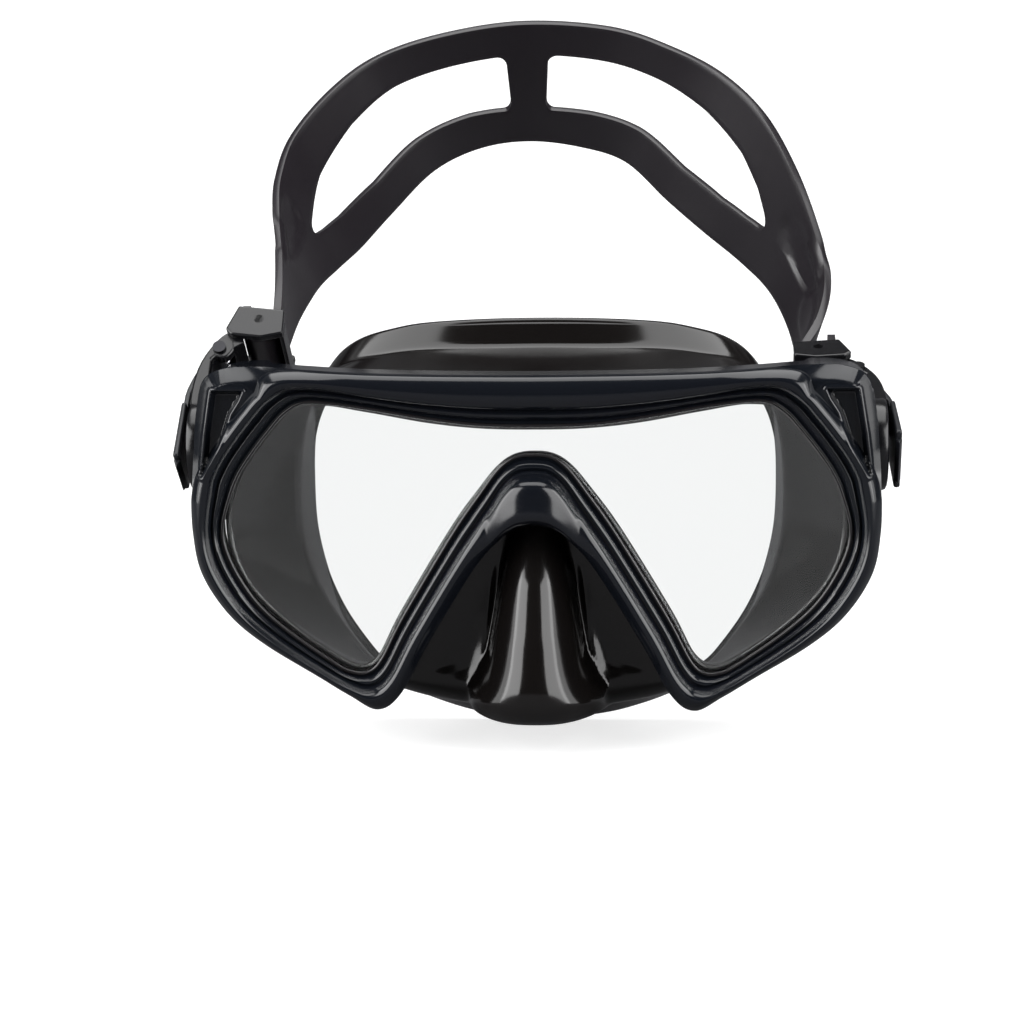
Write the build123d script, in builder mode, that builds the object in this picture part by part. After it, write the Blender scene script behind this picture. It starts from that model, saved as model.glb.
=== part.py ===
from build123d import *
import os
from math import sin, cos, radians, hypot

os.makedirs("parts", exist_ok=True)

# Axes: X across the face, Y from the lens towards the wearer, Z up. Millimetres.
# The origin is the centre of the face opening, in the plane of the seal at the temples.

# ---- driving dimensions: lens, frame and skirt ----
frame_rear_y = -36.0
frame_front_y = -46.0
bead_front_y = -50.0
ridge_front_y = -51.5
ridge_width = 4.0
bead_slope = 0.7
lens_front_y = -46.0
lens_thickness = 3.5
lens_overlap = 3.1
pocket_overlap = 3.4
flange_thickness = 1.8
clamp_thickness = 2.6
collar_outer = 0.2
collar_inner = -1.2
clamp_inner = 0.4
web_thickness = 1.6
skirt_wall = 1.8
skirt_middle_y = -16.0
skirt_rear_y = 3.0
face_radius = 244.0
face_block_bottom = -90.0
face_block_height = 180.0
face_front_y = -8.0
lip_thickness = 1.4
nose_side_share = 0.62
nose_side_rise = 0.8
nose_back_gap = 3.0

steps_per_span = 3

# ---- driving dimensions: wings, buckles and strap ----
pivot_y = -33.0
pivot_z = 14.0
pin_radius = 2.9
pin_fit = 0.03
pin_head_radius = 5.0
pin_head_thickness = 0.9
pin_head_room = 0.1
pin_end_a = 76.9
pin_groove_radius = 2.2
pin_groove_start_a = 77.3
pin_groove_end_a = 78.35
clip_radius = 4.2
clip_thickness = 1.0
clip_room = 0.5
clip_room_depth = 2.5
wing_outer_x = 82.2
wing_inner_x = 78.4
wing_roof_z = 32.5
wing_roof_thickness = 3.0
wing_tail_radius = 19.4
recess_depth = 3.5
hub_inner_x = 82.4
hub_outer_x = 86.4
hub_radius = 11.4
hub_room_radius = 22.4
hub_room_depth = 8.0
hub_gap = 0.2
wing_lip = 1.2
left_tilt = 51.0
right_tilt = 23.0
rail_outer_c = 9.0
rail_inner_c = 6.4
cheek_outer_c = 11.2
cheek_inner_c = 9.0
roller_a = 70.9
roller_b = 31.0
roller_radius = 2.5
roller_half_length = 8.7
roller_pin_radius = 1.25
pressed_fit = 0.01
running_fit = 0.04
lever_fit = 0.05
lever_pin_a = 80.6
lever_pin_b = 23.6
lever_pin_radius = 1.0
lever_pin_head_radius = 1.7
lever_pin_head_height = 0.8
lever_half_width = 5.9
lever_boss_half_width = 3.4
lever_flap_half_width = 8.0
spring_coil_radius = 1.75
spring_wire_radius = 0.3
spring_turns = 3
spring_pitch = 0.68
spring_start_c = 3.85
spring_room = 0.6
strap_thickness = 2.0
tail_half_width = 8.4
bend_inner_radius = 2.9
bend_start_b = 36.0
free_tail_end_b = {-1: 37.0, 1: 43.0}
tooth_half_width = 4.5
tooth_pitch = 3.0
tooth_height = 0.5
bar_half_station = 0.28

# ---- outlines, right half, (x, z), from the top centre round to the bottom centre ----
frame_outline = [
    (0, 32.7), (15, 32.8), (30, 33.0), (42, 33.4), (54, 34.0), (63, 34.9), (73, 34.9),
    (79.6, 32.8), (82.4, 28), (83.7, 18), (84.3, 6), (84.3, -5), (82, -17), (76, -26),
    (66.5, -34.4), (54, -42), (44.6, -46.9), (39, -49.4), (34.8, -47.2), (30, -40),
    (20.2, -23.3), (13, -12.5), (7, -6.6), (0, -4.4)]
bead_outline = [
    (0, 31.0), (15, 31.1), (30, 31.3), (42, 31.8), (53, 32.3), (62, 32.3), (69, 29),
    (76, 21), (80.5, 8), (81.8, -5), (79.5, -16.5), (73.5, -25.3), (64, -33),
    (52, -40.6), (43.8, -45.4), (39, -47.9), (36, -45.6), (31.4, -38), (21.6, -21.4),
    (14.2, -10.2), (7.5, -3.6), (0, -1.4)]
aperture_outline = [
    (0, 20.4), (13, 20.7), (23, 21.8), (32.4, 23.3), (41, 24.8), (49.4, 26), (57, 26.6),
    (63.5, 23.3), (71.3, 14.0), (76, 4), (77.2, -7), (73, -18.5), (62, -30.5),
    (50, -39), (43, -41.3), (38.3, -38.5), (32.4, -27.3), (20, -6.8), (13, 4.0),
    (8.5, 10.2), (4.5, 13.1), (0, 13.7)]
skirt_front = [
    (0, 27.5), (30, 27.8), (54, 28), (64, 27), (71, 22), (75.5, 14), (77, 4), (77, -6),
    (74.5, -15), (69, -23.5), (60, -31), (50, -37.5), (40, -42.5), (30, -45.5), (15, -47.5),
    (0, -48)]
skirt_middle = [
    (0, 37), (30, 36.5), (47, 34), (56.5, 28), (61.6, 18), (63.4, 6), (63.2, -8), (60.5, -20),
    (54.5, -32), (47, -42), (39, -48.5), (30, -52.5), (15, -56), (0, -57)]
skirt_rear = [
    (0, 45.3), (30, 44), (45, 41), (54, 35.5), (60.5, 24), (62.9, 8), (62.8, -6),
    (60.5, -20), (55, -35), (48, -46), (41, -52), (30, -57), (15, -61), (0, -62)]
lip_edge = [
    (0, 38), (30, 36.5), (42, 34), (51, 29), (58.5, 18), (61, 5), (60.6, -8), (58, -20),
    (52, -33), (45, -42.5), (38, -48.5), (29, -52.5), (15, -55), (0, -56)]
wing_recess = [(70.6, 28.8), (79, 28.6), (81, 17.2), (82.2, 6.5), (79.9, 8.6), (75, 16), (71.2, 23.4)]
wing_roof_plan = [(66, -46), (83.4, -46), (82.2, -27), (79, -26), (70, -26), (66, -29)]

# Nose pocket, row by row: height, half width, front of the ridge.
nose_rows = [(-8.0, 5.5, -44.0), (-18.0, 9.0, -50.5), (-32.0, 12.5, -56.5), (-44.0, 15.0, -59.5),
             (-52.3, 12.0, -57.0)]

# Buckle shapes in (a, b): a outwards along the pivot axis, b backwards from it.
arm_outline = [(82.4, 6), (86.4, 6), (86.4, 13), (85, 19.5), (82.2, 25), (79.4, 28.2), (76.4, 29.5),
               (76.4, 26.5), (77, 23), (79, 20.6), (82.4, 20.2)]
arm_window = [(82, 12.2), (90, 12.2), (90, 34), (70, 34), (76, 20)]
cheek_outline = [(64.6, 26.6), (70, 25.4), (77.6, 26.4), (79.2, 28.2), (76.4, 35.2), (64.6, 33.8)]
inner_wall_outline = [(64.6, 26.8), (65.6, 26.6), (65.6, 31.5), (64.6, 31.5)]
crossbar_outline = [(74.4, 25), (77.2, 23.2), (77.5, 25.6), (76.6, 27), (74.8, 26.6)]
lever_outline = [(88, -8), (89.6, -8), (88.9, 8), (88.3, 13.5), (85.7, 20.2), (82.2, 25.4), (79.3, 28.8),
                 (78.5, 32), (76.9, 32.3), (76.9, 30.4), (77.9, 26.4), (79.4, 22.2), (80.6, 21.2),
                 (82.8, 20.6), (83.8, 18), (86.8, 13.2), (87.5, 9)]
flap_outline = [(88, -8), (89.6, -8), (88.9, 8), (87.6, 8)]

# ---- strap edges, (x, y, z) of the upper and the lower edge, left buckle to right buckle ----
upper_edge = [
    (-67.5, -10.5, 53.5), (-68.5, -3.5, 62.5), (-70, 3, 72), (-70.5, 11, 80.5), (-68, 23, 91.5),
    (-59, 37, 104), (-47.5, 47.5, 113), (-29.5, 54, 119), (-7.5, 57, 122), (16.5, 54.5, 120),
    (33.5, 48, 114), (47, 40, 106.5), (58, 31.5, 95.5), (66, 26, 81), (71.5, 21, 66),
    (74.5, 15.5, 53.5), (72.5, 7, 43.5)]
lower_edge = [
    (-65.5, 3, 42.5), (-63.5, 11.5, 47.5), (-61.5, 21, 51.5), (-58, 31.5, 55.5), (-53.5, 44, 60.5),
    (-46.5, 58.5, 69.5), (-35.5, 72, 81.5), (-22.5, 79, 88), (-8, 81.5, 90), (7.5, 79, 88),
    (20.5, 74, 83.5), (32.5, 62, 72.5), (42.5, 53.5, 64), (52.5, 47, 56), (60.5, 39.5, 48),
    (65.5, 29, 38), (67.5, 16, 28)]
# Share of the strap's width at which each hole starts and ends, by station along the edges.
hole_stations = [3.9, 5, 6, 7, 8, 9, 10, 11, 12, 13, 14.1]
hole_foot = [0.40, 0.30, 0.26, 0.28, 0.29, 0.27, 0.29, 0.29, 0.27, 0.30, 0.40]
hole_head = [0.46, 0.64, 0.72, 0.745, 0.745, 0.745, 0.745, 0.745, 0.73, 0.68, 0.46]


# ---- helpers ----
def facing(y):
    """Plane at depth y seen from the front: local x is X, local y is Z, normal towards -Y."""
    return Plane(origin=(0, y, 0), x_dir=(1, 0, 0), z_dir=(0, -1, 0))


def smooth_run(half, grow=0.0):
    """Closed smooth curve through a mirrored outline, moved outwards by grow."""
    corners = list(half) + [(-x, z) for x, z in half[-2:0:-1]]
    count = len(corners)
    run = []
    for i in range(count):
        before, start, end, after = (corners[(i + k) % count] for k in (-1, 0, 1, 2))
        for step in range(steps_per_span):
            t = step / steps_per_span
            place = []
            for p0, p1, p2, p3 in zip(before, start, end, after):
                place.append(p1 + 0.5 * t * (p2 - p0 + t * (2 * p0 - 5 * p1 + 4 * p2 - p3
                                                            + t * (3 * (p1 - p2) + p3 - p0))))
            run.append(place)
    total = len(run)
    moved = []
    for i, (x, z) in enumerate(run):
        back, ahead = run[i - 1], run[(i + 1) % total]
        dx, dz = ahead[0] - back[0], ahead[1] - back[1]
        length = hypot(dx, dz)
        moved.append((x - grow * dz / length, z + grow * dx / length))
    return moved


def outline_sketch(y, half, grow=0.0):
    """Face inside a mirrored outline at depth y, grown outwards by grow."""
    with BuildSketch(facing(y)) as sketch:
        with BuildLine():
            Polyline(*smooth_run(half, grow), close=True)
        make_face()
    return sketch.sketch


def outline_slab(front_y, rear_y, half, grow=0.0):
    """Straight slab inside an outline, between two depths."""
    profile = outline_sketch(rear_y, half, grow)
    with BuildPart() as slab:
        extrude(profile, amount=rear_y - front_y)
    return slab.part


def polygon_slab(plane, points, height):
    """Straight slab on a plane inside a closed run of points."""
    with BuildPart() as slab:
        with BuildSketch(plane):
            with BuildLine():
                Polyline(*points, close=True)
            make_face()
        extrude(amount=height)
    return slab.part


def rod(plane, centre, radius, height):
    """Round bar standing on a plane."""
    with BuildPart() as bar:
        with BuildSketch(plane):
            with Locations(centre):
                Circle(radius)
        extrude(amount=height)
    return bar.part


def axle_plane(x):
    """Plane across the pivot axis: local x is Y, local y is Z."""
    return Plane(origin=(x, pivot_y, pivot_z), x_dir=(0, 1, 0), z_dir=(1, 0, 0))


def cross_plane(tilt, c):
    """Plane across the strap's width: local x is X, local y runs back along the buckle."""
    t = radians(tilt)
    start = (0, pivot_y - c * sin(t), pivot_z + c * cos(t))
    return Plane(origin=start, x_dir=(1, 0, 0), z_dir=(0, -sin(t), cos(t)))


def sided(side, points):
    return [(side * a, b) for a, b in points]


def lofted(profiles):
    with BuildPart() as shell:
        loft(sections=[profile.faces()[0] for profile in profiles], ruled=True)
    return shell.part


def save(part, name):
    part.label = name
    export_step(part, f"parts/{name}.step")


def axle_rod(side, radius, from_a, to_a):
    """Round bar on the pivot axis between two distances from the middle."""
    return rod(axle_plane(side * from_a), (0, 0), radius, side * (to_a - from_a))


# ---- frame ----
def hub_room(side):
    """Room in the wing's outer side for the buckle's hub, behind a thin front lip."""
    with BuildPart() as room:
        add(axle_rod(side, hub_room_radius, hub_inner_x - hub_gap, hub_inner_x + hub_room_depth))
        with BuildSketch(facing(frame_front_y + wing_lip)):
            Rectangle(4 * hub_outer_x, 4 * hub_outer_x)
        extrude(amount=hub_room_radius, mode=Mode.SUBTRACT)
    return room.part


bead = lofted([outline_sketch(frame_front_y, bead_outline),
               outline_sketch(bead_front_y, bead_outline, -bead_slope)])
ridge = lofted([outline_sketch(bead_front_y, aperture_outline, ridge_width),
                outline_sketch(ridge_front_y, aperture_outline, ridge_width - bead_slope)])
frame_body = outline_slab(frame_front_y, frame_rear_y, frame_outline)
wing_limit = outline_slab(frame_front_y, pivot_y + wing_tail_radius + 1, frame_outline)
window = outline_slab(ridge_front_y - 5, frame_rear_y + 5, aperture_outline)
pocket = outline_slab(lens_front_y, frame_rear_y + 5, aperture_outline, pocket_overlap)

# Wing side plate in (y, z): its tail is round about the pivot, so that the buckle clears it.
tail_points = [(pivot_y + wing_tail_radius * cos(radians(q)), pivot_z + wing_tail_radius * sin(radians(q)))
               for q in (72, 40, 0, -40, -70)]
wing_side = [(frame_rear_y - 4, wing_roof_z)] + tail_points + [(frame_rear_y - 4, -8)]

with BuildPart() as wings:
    for side in (-1, 1):
        with BuildSketch(Plane(origin=(side * (wing_inner_x + wing_outer_x) / 2, 0, 0),
                               x_dir=(0, 1, 0), z_dir=(1, 0, 0))):
            with BuildLine():
                Polyline(*wing_side, close=True)
            make_face()
        extrude(amount=(wing_outer_x - wing_inner_x) / 2, both=True)
        with BuildSketch(Plane.XY.offset(wing_roof_z)):
            with BuildLine():
                Polyline(*sided(side, wing_roof_plan), close=True)
            make_face()
        extrude(amount=-wing_roof_thickness)
    add(wing_limit, mode=Mode.INTERSECT)

with BuildPart() as frame:
    add(frame_body)
    add(wings.part)
    add(bead)
    add(ridge)
    for side in (-1, 1):
        with BuildSketch(facing(frame_front_y + recess_depth)):
            with BuildLine():
                Polyline(*sided(side, wing_recess), close=True)
            make_face()
        extrude(amount=20, mode=Mode.SUBTRACT)
        with BuildSketch(axle_plane(side * wing_inner_x)):
            Circle(pin_radius + pin_fit)
        extrude(amount=8, both=True, mode=Mode.SUBTRACT)
        with BuildSketch(axle_plane(side * wing_inner_x)):
            Circle(clip_radius + clip_room)
        extrude(amount=-side * clip_room_depth, mode=Mode.SUBTRACT)
        add(hub_room(side), mode=Mode.SUBTRACT)
    add(window, mode=Mode.SUBTRACT)
    add(pocket, mode=Mode.SUBTRACT)
save(frame.part, "frame")

# ---- lens: one flat pane with a nose notch ----
lens_rear_y = lens_front_y + lens_thickness
lens_profile = outline_sketch(lens_rear_y, aperture_outline, lens_overlap)
with BuildPart() as lens:
    extrude(lens_profile, amount=lens_thickness)
save(lens.part, "lens")

# ---- retaining ring behind the skirt's flange ----
flange_rear_y = lens_rear_y + flange_thickness
clamp_rear_y = flange_rear_y + clamp_thickness
clamp_outside = outline_sketch(clamp_rear_y, aperture_outline, lens_overlap)
clamp_inside = outline_sketch(clamp_rear_y, aperture_outline, clamp_inner)
with BuildPart() as retaining_ring:
    extrude(clamp_outside, amount=clamp_thickness)
    extrude(clamp_inside, amount=clamp_thickness, mode=Mode.SUBTRACT)
save(retaining_ring.part, "retaining_ring")

# ---- skirt: flange, collar, web, shell, nose pocket and inner lip in one moulding ----
flange_outside = outline_slab(lens_rear_y, flange_rear_y, aperture_outline, lens_overlap)
collar_rear_y = frame_rear_y + web_thickness / 2
collar_outside = outline_slab(flange_rear_y, collar_rear_y, aperture_outline, collar_outer)
collar_inside = outline_slab(lens_rear_y - 1, collar_rear_y + web_thickness, aperture_outline, collar_inner)


def shell_between(front_y, inset):
    return lofted([outline_sketch(front_y, skirt_front, -inset),
                   outline_sketch(skirt_middle_y, skirt_middle, -inset),
                   outline_sketch(skirt_rear_y, skirt_rear, -inset)])


def nose_loft(inset):
    """Nose pocket outline stacked up its height, set in by inset."""
    profiles = []
    foot_z = nose_rows[-1][0]
    back_y = frame_rear_y + nose_back_gap
    for z, half_width, front in nose_rows:
        width = half_width - inset
        front_y = front + inset
        side_x = nose_side_share * width
        side_y = front_y * nose_side_rise + frame_rear_y * (1 - nose_side_rise)
        row_z = z + inset if z == foot_z else z
        with BuildSketch(Plane.XY.offset(row_z)) as row:
            with BuildLine():
                Spline((-width, back_y), (-side_x, side_y), (0, front_y), (side_x, side_y), (width, back_y))
                Line((width, back_y), (-width, back_y))
            make_face()
        profiles.append(row.sketch)
    return lofted(profiles)


outer_shell = shell_between(frame_rear_y, 0)
inner_shell = shell_between(frame_rear_y + web_thickness, skirt_wall)
nose_outside = nose_loft(0)
nose_inside = nose_loft(skirt_wall)
lip_ring = outline_slab(face_front_y - 6, skirt_rear_y + 1, skirt_rear, -1.0)
lip_hole = outline_slab(face_front_y - 6, skirt_rear_y + 1, lip_edge)
face_plane = Plane.XY.offset(face_block_bottom)
face_centre = (0, face_front_y + face_radius)
face_block = rod(face_plane, face_centre, face_radius, face_block_height)
lip_front_block = rod(face_plane, face_centre, face_radius + lip_thickness, face_block_height)

with BuildPart() as lip:
    add(lip_ring)
    add(lip_hole, mode=Mode.SUBTRACT)
    add(lip_front_block, mode=Mode.INTERSECT)

with BuildPart() as skirt:
    add(outer_shell)
    add(nose_outside)
    add(collar_outside)
    add(flange_outside)
    add(inner_shell, mode=Mode.SUBTRACT)
    add(nose_inside, mode=Mode.SUBTRACT)
    add(collar_inside, mode=Mode.SUBTRACT)
    add(lip.part)
    add(face_block, mode=Mode.SUBTRACT)
save(skirt.part, "skirt")


# ---- strap: two holes, a centre bar and a tail folded round each buckle's roller ----
def on_buckle(side, tilt, a, b, c):
    t = radians(tilt)
    return (side * a, pivot_y + b * cos(t) - c * sin(t), pivot_z + b * sin(t) + c * cos(t))


run_a = roller_a - bend_inner_radius - strap_thickness / 2
start_pair = [on_buckle(-1, left_tilt, run_a, bend_start_b, c) for c in (tail_half_width, -tail_half_width)]
end_pair = [on_buckle(1, right_tilt, run_a, bend_start_b, c) for c in (tail_half_width, -tail_half_width)]
upper_run = [start_pair[0]] + upper_edge + [end_pair[0]]
lower_run = [start_pair[1]] + lower_edge + [end_pair[1]]
last_station = len(upper_run) - 1


def along(run, station):
    """Point on the smooth curve through a run of points, at a whole or part station."""
    i = min(int(station), last_station - 1)
    t = station - i
    p0, p1, p2, p3 = (run[max(0, min(last_station, i + k))] for k in (-1, 0, 1, 2))
    return Vector(*[b + 0.5 * t * (c - a + t * (2 * a - 5 * b + 4 * c - d + t * (3 * (b - c) + d - a)))
                    for a, b, c, d in zip(p0, p1, p2, p3)])


def strap_section(station, low, high):
    """Cross-section of the strap between two shares of its width, measured from the lower edge."""
    top, foot = along(upper_run, station), along(lower_run, station)
    if station in (0, last_station):
        outward = Vector(1, 0, 0)
    else:
        ahead = along(upper_run, station + 0.05) + along(lower_run, station + 0.05)
        behind = along(upper_run, station - 0.05) + along(lower_run, station - 0.05)
        outward = (ahead - behind).cross(top - foot).normalized()
    half = outward * (strap_thickness / 2)
    a, b = foot + (top - foot) * low, foot + (top - foot) * high
    return Face(Wire.make_polygon([a - half, b - half, b + half, a + half], close=True))


def share(table, station):
    """Share read from one of the hole lists, straight between its stations."""
    pairs = list(zip(hole_stations, table))
    for (s0, v0), (s1, v1) in zip(pairs, pairs[1:]):
        if station <= s1:
            return v0 + (v1 - v0) * (station - s0) / (s1 - s0)
    return table[-1]


def band(first, last, low, high):
    """Stretch of strap between two stations; low and high give its edges at each station."""
    spans = max(2, round((last - first) * 2))
    stations = [first + (last - first) * k / spans for k in range(spans + 1)]
    with BuildPart() as stretch:
        loft(sections=[strap_section(s, low(s), high(s)) for s in stations], ruled=True)
    return stretch.part


def tail_bend(side, tilt):
    """Tail folded round the roller, with its free end on the outside."""
    end_b = free_tail_end_b[side]
    outer = bend_inner_radius + strap_thickness
    with BuildPart() as bend:
        with BuildSketch(cross_plane(tilt, -tail_half_width)):
            with Locations((side * roller_a, roller_b)):
                Circle(outer)
                Circle(bend_inner_radius, mode=Mode.SUBTRACT)
                with Locations((0, outer)):
                    Rectangle(4 * outer, 2 * outer, mode=Mode.SUBTRACT)
            with Locations((side * run_a, (roller_b + bend_start_b) / 2)):
                Rectangle(strap_thickness, bend_start_b - roller_b)
            with Locations((side * (2 * roller_a - run_a), (roller_b + end_b) / 2)):
                Rectangle(strap_thickness, end_b - roller_b)
        extrude(amount=2 * tail_half_width)
        face_a = 2 * roller_a - run_a + strap_thickness / 2
        tooth_b = roller_b + 2
        while tooth_b + tooth_pitch < end_b:
            with BuildSketch(cross_plane(tilt, -tooth_half_width)):
                with BuildLine():
                    Polyline(*sided(side, [(face_a - 0.2, tooth_b), (face_a + tooth_height, tooth_b),
                                           (face_a - 0.2, tooth_b + tooth_pitch * 0.7)]), close=True)
                make_face()
            extrude(amount=2 * tooth_half_width)
            tooth_b += tooth_pitch
    return bend.part


def foot_share(station):
    return share(hole_foot, station)


def head_share(station):
    return share(hole_head, station)


def none(station):
    return 0.0


def full(station):
    return 1.0


centre = last_station / 2
bar_start, bar_end = centre - bar_half_station, centre + bar_half_station
stretches = [band(0, hole_stations[0], none, full),
             band(hole_stations[0], bar_start, none, foot_share),
             band(hole_stations[0], bar_start, head_share, full),
             band(bar_start, bar_end, none, full),
             band(bar_end, hole_stations[-1], none, foot_share),
             band(bar_end, hole_stations[-1], head_share, full),
             band(hole_stations[-1], last_station, none, full),
             tail_bend(-1, left_tilt),
             tail_bend(1, right_tilt)]
with BuildPart() as strap:
    for stretch in stretches:
        add(stretch)
save(strap.part, "strap")


# ---- each side: pivot pin and clip, buckle body, release lever, spring, roller ----
def straight_slab(side, tilt, points, from_c, to_c):
    return polygon_slab(cross_plane(tilt, from_c), sided(side, points), to_c - from_c)


def through_hole(tilt, centre, radius):
    """Bore right through a buckle, across the strap's width."""
    return rod(cross_plane(tilt, -cheek_outer_c - 1), centre, radius, 2 * cheek_outer_c + 2)


pin_head_a = hub_outer_x - pin_head_room

for side, tilt, word in ((-1, left_tilt, "left"), (1, right_tilt, "right")):
    roller_at = (side * roller_a, roller_b)
    lever_pin_at = (side * lever_pin_a, lever_pin_b)

    with BuildPart() as pivot_pin:
        add(axle_rod(side, pin_radius, pin_end_a, pin_head_a))
        add(axle_rod(side, pin_head_radius, pin_head_a - pin_head_thickness, pin_head_a))
        add(axle_rod(side, pin_radius + 1, pin_groove_start_a, pin_groove_end_a), mode=Mode.SUBTRACT)
        add(axle_rod(side, pin_groove_radius, pin_groove_start_a, pin_groove_end_a))
    save(pivot_pin.part, f"{word}_pivot_pin")

    with BuildPart() as pivot_clip:
        add(axle_rod(side, clip_radius, pin_groove_start_a, pin_groove_start_a + clip_thickness))
        add(axle_rod(side, pin_groove_radius, pin_end_a, hub_inner_x), mode=Mode.SUBTRACT)
    save(pivot_clip.part, f"{word}_pivot_clip")

    with BuildPart() as buckle_body:
        add(axle_rod(side, hub_radius, hub_inner_x, hub_outer_x))
        add(straight_slab(side, tilt, arm_outline, -rail_outer_c, rail_outer_c))
        add(straight_slab(side, tilt, arm_window, -rail_inner_c, rail_inner_c), mode=Mode.SUBTRACT)
        add(straight_slab(side, tilt, cheek_outline, cheek_inner_c, cheek_outer_c))
        add(straight_slab(side, tilt, cheek_outline, -cheek_outer_c, -cheek_inner_c))
        add(straight_slab(side, tilt, inner_wall_outline, -cheek_inner_c, cheek_inner_c))
        add(straight_slab(side, tilt, crossbar_outline, -cheek_inner_c, cheek_inner_c))
        add(axle_rod(side, pin_radius + pin_fit, hub_inner_x - 1, hub_outer_x + 1), mode=Mode.SUBTRACT)
        add(axle_rod(side, pin_head_radius + pin_head_room, pin_head_a - pin_head_thickness, hub_outer_x + 1),
            mode=Mode.SUBTRACT)
        add(through_hole(tilt, roller_at, roller_pin_radius + pressed_fit), mode=Mode.SUBTRACT)
        add(through_hole(tilt, lever_pin_at, lever_pin_radius + pressed_fit), mode=Mode.SUBTRACT)
    save(buckle_body.part, f"{word}_buckle_body")

    with BuildPart() as release_lever:
        add(straight_slab(side, tilt, lever_outline, -lever_half_width, lever_half_width))
        add(straight_slab(side, tilt, flap_outline, -lever_flap_half_width, lever_flap_half_width))
        add(through_hole(tilt, lever_pin_at, lever_pin_radius + lever_fit), mode=Mode.SUBTRACT)
        add(rod(cross_plane(tilt, lever_boss_half_width), lever_pin_at, spring_coil_radius + spring_room,
                lever_half_width), mode=Mode.SUBTRACT)
    save(release_lever.part, f"{word}_release_lever")

    with BuildPart() as lever_pin:
        add(rod(cross_plane(tilt, -rail_outer_c), lever_pin_at, lever_pin_radius, 2 * rail_outer_c))
        add(rod(cross_plane(tilt, rail_outer_c), lever_pin_at, lever_pin_head_radius, lever_pin_head_height))
    save(lever_pin.part, f"{word}_lever_pin")

    coil_plane = cross_plane(tilt, spring_start_c)
    coil_centre = coil_plane.from_local_coords((side * lever_pin_a, lever_pin_b, 0))
    with BuildPart() as lever_spring:
        with BuildLine():
            helix = Helix(pitch=spring_pitch, height=spring_pitch * spring_turns, radius=spring_coil_radius,
                          center=coil_centre, direction=coil_plane.z_dir)
        with BuildSketch(Plane(origin=helix @ 0, z_dir=helix % 0)):
            Circle(spring_wire_radius)
        sweep(is_frenet=True)
    save(lever_spring.part, f"{word}_lever_spring")

    with BuildPart() as strap_roller:
        add(rod(cross_plane(tilt, -roller_half_length), roller_at, roller_radius, 2 * roller_half_length))
        add(through_hole(tilt, roller_at, roller_pin_radius + running_fit), mode=Mode.SUBTRACT)
    save(strap_roller.part, f"{word}_strap_roller")

    with BuildPart() as roller_pin:
        add(rod(cross_plane(tilt, -cheek_outer_c), roller_at, roller_pin_radius, 2 * cheek_outer_c))
    save(roller_pin.part, f"{word}_roller_pin")
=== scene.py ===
import bpy
import bmesh
from math import sin, cos, pi, radians, sqrt, hypot
from mathutils import Matrix, Vector


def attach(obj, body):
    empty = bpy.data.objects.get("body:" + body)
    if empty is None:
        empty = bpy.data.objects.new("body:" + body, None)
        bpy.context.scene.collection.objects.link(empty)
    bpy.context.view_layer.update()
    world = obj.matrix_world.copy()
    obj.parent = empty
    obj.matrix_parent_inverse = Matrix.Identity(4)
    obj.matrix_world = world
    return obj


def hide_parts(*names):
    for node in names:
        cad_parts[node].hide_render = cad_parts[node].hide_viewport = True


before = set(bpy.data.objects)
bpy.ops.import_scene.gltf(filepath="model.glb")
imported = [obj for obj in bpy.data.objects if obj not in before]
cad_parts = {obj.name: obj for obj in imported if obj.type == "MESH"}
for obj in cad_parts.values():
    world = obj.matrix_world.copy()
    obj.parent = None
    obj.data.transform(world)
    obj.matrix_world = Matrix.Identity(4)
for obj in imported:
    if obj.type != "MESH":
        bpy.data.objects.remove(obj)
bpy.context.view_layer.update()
MM = 0.001

# ---- sizes shared by several pieces, in millimetres ----
# X runs to the viewer's right, Y away from the camera, Z up. Sides are -1 for left and 1 for right.
LENS_Y = -46.0
LENS_THICKNESS = 3.5
FRAME_REAR_Y = -36.0
# The line through both pivots, as (y, z).
PIVOT = (-33.0, 14.0)
SIDES = ((-1, "left"), (1, "right"))
# How steeply each buckle rises towards the back, in degrees.
TILT = {-1: 51.0, 1: 23.0}

# Matched stations round the right half: point on the lens opening, point on the frame's edge.
RIM = [
    ((0, 20.4), (0, 32.7)), ((13, 20.7), (15, 32.8)), ((23, 21.8), (28, 33.0)),
    ((32.4, 23.3), (39, 33.3)), ((41, 24.8), (48, 33.7)), ((49.4, 26), (57, 34.3)),
    ((56.3, 26.2), (66, 34.9)), ((61.2, 23.6), (75.5, 34.5)), ((65.2, 19.2), (81.2, 31.6)),
    ((69.3, 14), (83.2, 23.5)), ((72.8, 8.8), (84, 14.5)), ((75.3, 3), (84.4, 5)),
    ((77.3, -5.5), (84.3, -6)), ((75.4, -13.6), (82.3, -16.3)), ((69.8, -23), (76, -26.3)),
    ((62, -30.5), (67.2, -33.9)), ((50, -39), (54, -42)), ((45.5, -41.2), (46, -46.9)),
    ((41.5, -41.2), (39.2, -50.3)), ((38.0, -38.0), (33.4, -46.4)), ((32.4, -27.3), (26.3, -33.6)),
    ((20, -6.8), (14.8, -15)), ((12.7, 3.7), (8.2, -7.6)), ((8.3, 9.5), (4.8, -5.2)),
    ((4.4, 12.3), (2.2, -4.5)), ((0, 12.9), (0, -4.3))]


# ---- curve helpers ----
def blend4(p0, p1, p2, p3, t):
    """Point at t between p1 and p2 on the smooth curve through four points."""
    return [b + 0.5 * t * (c - a + t * (2 * a - 5 * b + 4 * c - d + t * (3 * (b - c) + d - a)))
            for a, b, c, d in zip(p0, p1, p2, p3)]


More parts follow.
